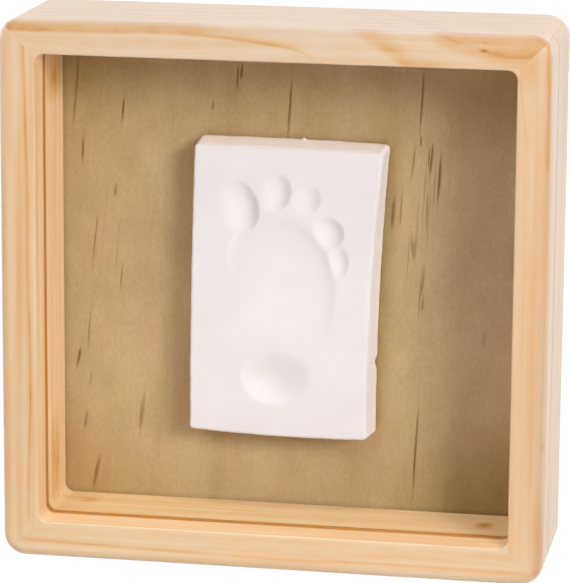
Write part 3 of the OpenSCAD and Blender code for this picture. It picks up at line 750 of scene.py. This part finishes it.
# Clay tablet with the imprint: the same shape as the solid on a finer grid, with small marks on its edges
tablet = {
    "width": 57.0, "height": 92.0, "thickness": 12.0, "draft": 0.6,
    "edgeRound": 0.9, "cornerRound": 1.5,
    "middle": (-1.0, 83.0),                              # x and z in the frame
    # corners from top left, clockwise; edges from the top, clockwise
    "stray": ((0.5, 0.1), (3.0, -0.6), (-1.2, -0.5), (-1.0, 0.4)), "bow": (0.1, -1.5, 0.7, 0.4),
    "flare": ((-1.0, 1.0), (0.5, 1.0), (1.8, -1.0), (-1.0, -1.0)), "swell": (0.2, 0.5, 0.0, 0.0),
    "depth": 0.79, "rimSoft": 0.05, "meetPower": 4.0,
    "columns": 190, "rows": 290, "crowding": 0.25, "sideSteps": 12,
    # knife marks on the upright and the level edges: turn per millimetre, start and share of each wave
    "waver": 0.03, "uprightWaves": ((0.6, 0.4, 1.0), (1.5, 2.0, 0.7)),
    "levelWaves": ((0.5, 1.0, 1.0), (1.7, 0.0, 0.7)),
    "waverFade": (9, 15),                                # how quickly they die away from those edges
    # nick in the right rear edge and bump on the top one: place along it, size, half width, steepness
    "nick": (-23.4, 0.6, 1.6, 2), "bump": (4.6, 0.65, 0.7, 6),
    # middle x and z, half width, half length, lean in degrees, depth,
    # extra depth to the right and to the top, fullness of the cup
    "dents": {
        "bigToe": (-13.9, 26.5, 6.4, 8.9, 16, 1.95, 0.98, -0.43, 1.2),
        "secondToe": (-2.5, 31.1, 5.1, 6.6, -22, 1.42, 1, 0.65, 1.3),
        "thirdToe": (7.4, 29.4, 4.5, 5.1, -28, 1, 0.81, 0.46, 1.15),
        "fourthToe": (14.3, 19.2, 5.2, 5.3, -29, 1.9, 0.43, 0.41, 1.3),
        "littleToe": (17.3, 10.2, 3.7, 5.2, 0, 0.98, 0.85, 0.24, 1.2),
        "sole": (0.5, 1.1, 15.6, 21.7, 7, 1.14, 1, 0.45, 0.5),
        "innerBall": (-12, 12.8, 5, 8.5, -14, 0.55, -0.6, 0.1, 0.7),
        "heel": (-2.1, -27, 11.2, 9.4, 3, 2.15, -0.21, -1, 1.3),
    },
}


def crowd(count, crowding):
    # steps from -1 to 1 that crowd towards both ends
    k = np.linspace(-1, 1, count + 1)
    return k * (1 + crowding - crowding * k * k)


def handCut(u, v, corners, bows):
    # four strayed corners shared out over the square, and edges bowed as parabolas
    shares = np.stack([(1 - u) * (1 + v), (1 + u) * (1 + v), (1 + u) * (1 - v), (1 - u) * (1 - v)], -1) / 4
    strayed = shares @ np.array(corners)
    top, right, bottom, left = bows
    bowX = (right * (1 + u) - left * (1 - u)) * (1 - v * v) / 2
    bowZ = (top * (1 + v) - bottom * (1 - v)) * (1 - u * u) / 2
    return strayed[..., 0] + bowX, strayed[..., 1] + bowZ


def roundCorners(u, v, t):
    # corners of the unit square drawn in to quarter ellipses
    cu, cv = 2 * t["cornerRound"] / t["width"], 2 * t["cornerRound"] / t["height"]
    a = np.maximum(0, (np.abs(u) - 1) / cu + 1)
    b = np.maximum(0, (np.abs(v) - 1) / cv + 1)
    inCorner = (a > 0) & (b > 0)
    ru = np.where(inCorner, np.sign(u) * (1 - cu + cu * a * np.sqrt(1 - b * b / 2)), u)
    rv = np.where(inCorner, np.sign(v) * (1 - cv + cv * b * np.sqrt(1 - a * a / 2)), v)
    return ru, rv


def imprintDepth(x, z, t):
    # cups with soft rims, each deeper to one side, joined by a smooth maximum
    total = np.zeros_like(x)
    for mx, mz, wide, long, lean, share, toRight, toTop, fullness in t["dents"].values():
        c, s = math.cos(math.radians(lean)), math.sin(math.radians(lean))
        across = ((x - mx) * c + (z - mz) * s) / wide
        along = ((z - mz) * c - (x - mx) * s) / long
        cup = t["rimSoft"] * np.logaddexp(0, (1 - across ** 2 - along ** 2) / t["rimSoft"])
        dent = share * cup ** fullness * np.maximum(0, 1 + toRight * across + toTop * along)
        total += dent ** t["meetPower"]
    return t["depth"] * total ** (1 / t["meetPower"])


def waves(place, parts):
    # sum of sine waves along an edge
    return sum(share * np.sin(rate * place + start) for rate, start, share in parts)


def tabletFront(u, v, t):
    # the hand-cut rectangle with wavering edges, as deep as the imprint and a quarter round along the rim
    ru, rv = roundCorners(u, v, t)
    cutX, cutZ = handCut(ru, rv, t["stray"], t["bow"])
    x, z = ru * t["width"] / 2 + cutX, rv * t["height"] / 2 + cutZ
    fadeX, fadeZ = t["waverFade"]
    waverX = t["waver"] * waves(z, t["uprightWaves"]) * np.abs(u) ** fadeX
    waverZ = t["waver"] * waves(x, t["levelWaves"]) * np.abs(v) ** fadeZ
    x, z = x + waverX, z + waverZ
    gap = np.minimum((1 - np.abs(u)) * t["width"], (1 - np.abs(v)) * t["height"]) / 2
    r = t["edgeRound"]
    fall = np.where(gap < r, r - np.sqrt(np.maximum(0, r * r - (r - gap) ** 2)), 0)
    return np.stack([x, imprintDepth(x, z, t) + fall, z], -1)


def tabletSides(u, v, edge, t):
    # straight from the front's edge to the flared rear, less the nick and with the bump
    outX, outZ = handCut(*roundCorners(u, v, t), np.array(t["flare"]) * t["draft"], t["swell"])
    step = np.linspace(0, 1, t["sideSteps"] + 1)[1:, None]
    side = edge[None] + step[..., None] * np.stack([outX, t["thickness"] - edge[:, 1], outZ], -1)
    nickZ, nickDeep, nickWide, nickPower = t["nick"]
    bumpX, bumpHigh, bumpWide, bumpPower = t["bump"]
    side[..., 0] -= (u == 1) * nickDeep * step ** nickPower * np.exp(-((edge[:, 2] - nickZ) / nickWide) ** 2)
    side[..., 2] += (v == 1) * bumpHigh * step ** bumpPower * np.exp(-((edge[:, 0] - bumpX) / bumpWide) ** 2)
    return side


def makeTablet(t):
    # front grid, rings round the sides and a fan over the rear
    u, v = np.meshgrid(crowd(t["columns"], t["crowding"]), crowd(t["rows"], t["crowding"]))
    front = tabletFront(u, v, t).reshape(-1, 3)
    ids = np.arange(u.size).reshape(u.shape)
    border = np.concatenate([ids[0, :-1], ids[:-1, -1], ids[-1, :0:-1], ids[:0:-1, 0]])
    side = tabletSides(u.ravel()[border], v.ravel()[border], front[border], t).reshape(-1, 3)
    points = np.concatenate([front, side, [[0, t["thickness"], 0]]])
    count = len(border)
    rings = np.concatenate([border[None], ids.size + np.arange(len(side)).reshape(-1, count)])
    following = np.roll(rings, -1, axis=1)
    cells = np.stack([ids[:-1, :-1], ids[:-1, 1:], ids[1:, 1:], ids[1:, :-1]], -1).reshape(-1, 4)
    walls = np.stack([rings[:-1], rings[1:], following[1:], following[:-1]], -1).reshape(-1, 4)
    fan = np.stack([rings[-1], np.full(count, len(points) - 1), following[-1]], -1)
    middleX, middleZ = t["middle"]
    place = np.array([middleX, clayY, middleZ])
    mesh = bpy.data.meshes.new("clay_tablet_fine")
    mesh.from_pydata(((points + place) * mm).tolist(), [], cells.tolist() + walls.tolist() + fan.tolist())
    mesh.polygons.foreach_set("use_smooth", np.ones(len(mesh.polygons), bool))
    mesh.update()
    return addObject("clay_tablet_fine", mesh)


# White clay: a pressed front, and cut sides painted paler as painted light, the right one growing paler still
# to the rear
clay = {
    "front": (tone(207, 202, 203), tone(203, 196, 196)), "cloudFrom": (-0.7, 0.7),
    "right": (tone(233, 232, 234), tone(245, 240, 237)), "rightDeep": (5.9, 10.4),    # behind the front
    "top": tone(251, 249, 250), "topFrom": (44.0, 45.5),                              # above the middle
    "rimFrom": (0.93, 0.97), "rimDeep": (0.1, 0.9),      # share of the half size, and behind the front
    "cloud": (18.0, 2, 0.5), "grain": (0.8, 4, 0.6),     # size, detail and roughness of the noise
    "roughness": 0.75, "bump": (0.08, 0.0004),
}


def clayFinish(c, t):
    f = Finish("clay")
    x, y, z = f.x - t["middle"][0], f.y - clayY, f.z - t["middle"][1]
    grain = f.noise(f.x, f.y, f.z, *c["grain"])
    cloud = f.noise(f.x, f.y, f.z, *c["cloud"])
    face = f.mix(cloud.rise(*c["cloudFrom"]), *c["front"])
    outward = (abs(x) / (t["width"] / 2)).atLeast(abs(z) / (t["height"] / 2))
    # painted light: the cut sides and the top take paler copies of the clay's tone, from the rim in
    rim = outward.rise(*c["rimFrom"]) * y.rise(*c["rimDeep"])
    right = f.mix(y.rise(*c["rightDeep"]), *c["right"])
    paintedLightSides = f.mix(z.rise(*c["topFrom"]), right, c["top"])
    return f.surface(Base_Color=f.mix(rim, face, paintedLightSides), Roughness=c["roughness"],
                     Normal=f.bump(grain, *c["bump"]))


clayPiece = makeTablet(tablet)
clayPiece.data.materials.append(clayFinish(clay, tablet))
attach(clayPiece, "base")
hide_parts("clay_tablet")
print("stage 3: tablet made")


# Pale studio: a white floor, a white surrounding and six soft lamps round the box
studio = {
    "floorSize": 8.0, "floorColour": (0.86, 0.86, 0.86, 1), "floorRoughness": 0.9,
    "floorWhite": 0.92, "floorGlow": 1.05,       # how much of the floor glows white, and how strongly
    # azimuth, elevation, distance, size in metres, power in watts
    "lights": {
        "key": (38, 20, 2.2, 0.7, 32),
        "fill": (-13, 36, 2.2, 1.0, 14),
        "right": (55, 12, 2.2, 0.8, 8),
        "left": (-97, 10, 2.2, 1.2, 20),
        "top": (0, 75, 2.2, 1.2, 32),
        "back": (180, 0, 1.0, 0.16, 3.5),
    },
}


def seenDirectly(tree):
    # 1 where the camera, a reflection or a clear piece shows the background, 0 where it would light the box
    straight, mirrored, through = (tree.node("ShaderNodeLightPath", {}, out=f"Is {ray} Ray")
                                   for ray in ("Camera", "Glossy", "Transmission"))
    return straight.atLeast(mirrored).atLeast(through)


def makeFloor(s):
    reach = s["floorSize"] / 2
    corners = [(-reach, -reach, 0), (reach, -reach, 0), (reach, reach, 0), (-reach, reach, 0)]
    mesh = bpy.data.meshes.new("floor")
    mesh.from_pydata(corners, [], [(0, 1, 2, 3)])
    f = Finish("floor")
    mesh.materials.append(f.surface(Base_Color=s["floorColour"], Roughness=s["floorRoughness"]))
    glow = f.node("ShaderNodeEmission", {}, (1, 1, 1, 1), s["floorGlow"])
    lit = Wire(f, f.shader.outputs[0])
    both = f.node("ShaderNodeMixShader", {}, seenDirectly(f) * s["floorWhite"], lit, glow)
    f.feed(f.find("OUTPUT_MATERIAL").inputs["Surface"], both)
    addObject("floor", mesh)


def makeWorld():
    world = bpy.data.worlds.new("studio")
    bpy.context.scene.world = world
    world.use_nodes = True
    tree = Tree(world.node_tree)
    background = tree.find("BACKGROUND")
    tree.feed(background.inputs["Color"], (1, 1, 1, 1))
    tree.feed(background.inputs["Strength"], seenDirectly(tree))


def makeLight(name, target, azimuth, elevation, distance, size, power):
    data = bpy.data.lights.new(name, "AREA")
    data.shape, data.size, data.energy = "DISK", size, power
    away = direction(azimuth, elevation)
    turn = (-away).to_track_quat("-Z", "Y").to_matrix().to_4x4()
    obj = addObject(name, data)
    obj.matrix_world = Matrix.Translation(target + away * distance) @ turn
    obj.visible_camera = False


middle = (cadBox[0] + cadBox[1]) / 2
makeFloor(studio)
makeWorld()
for name, lamp in studio["lights"].items():
    makeLight(name, middle, *lamp)
bpy.context.scene.view_settings.view_transform = "Standard"
print("stage 4: studio lit")
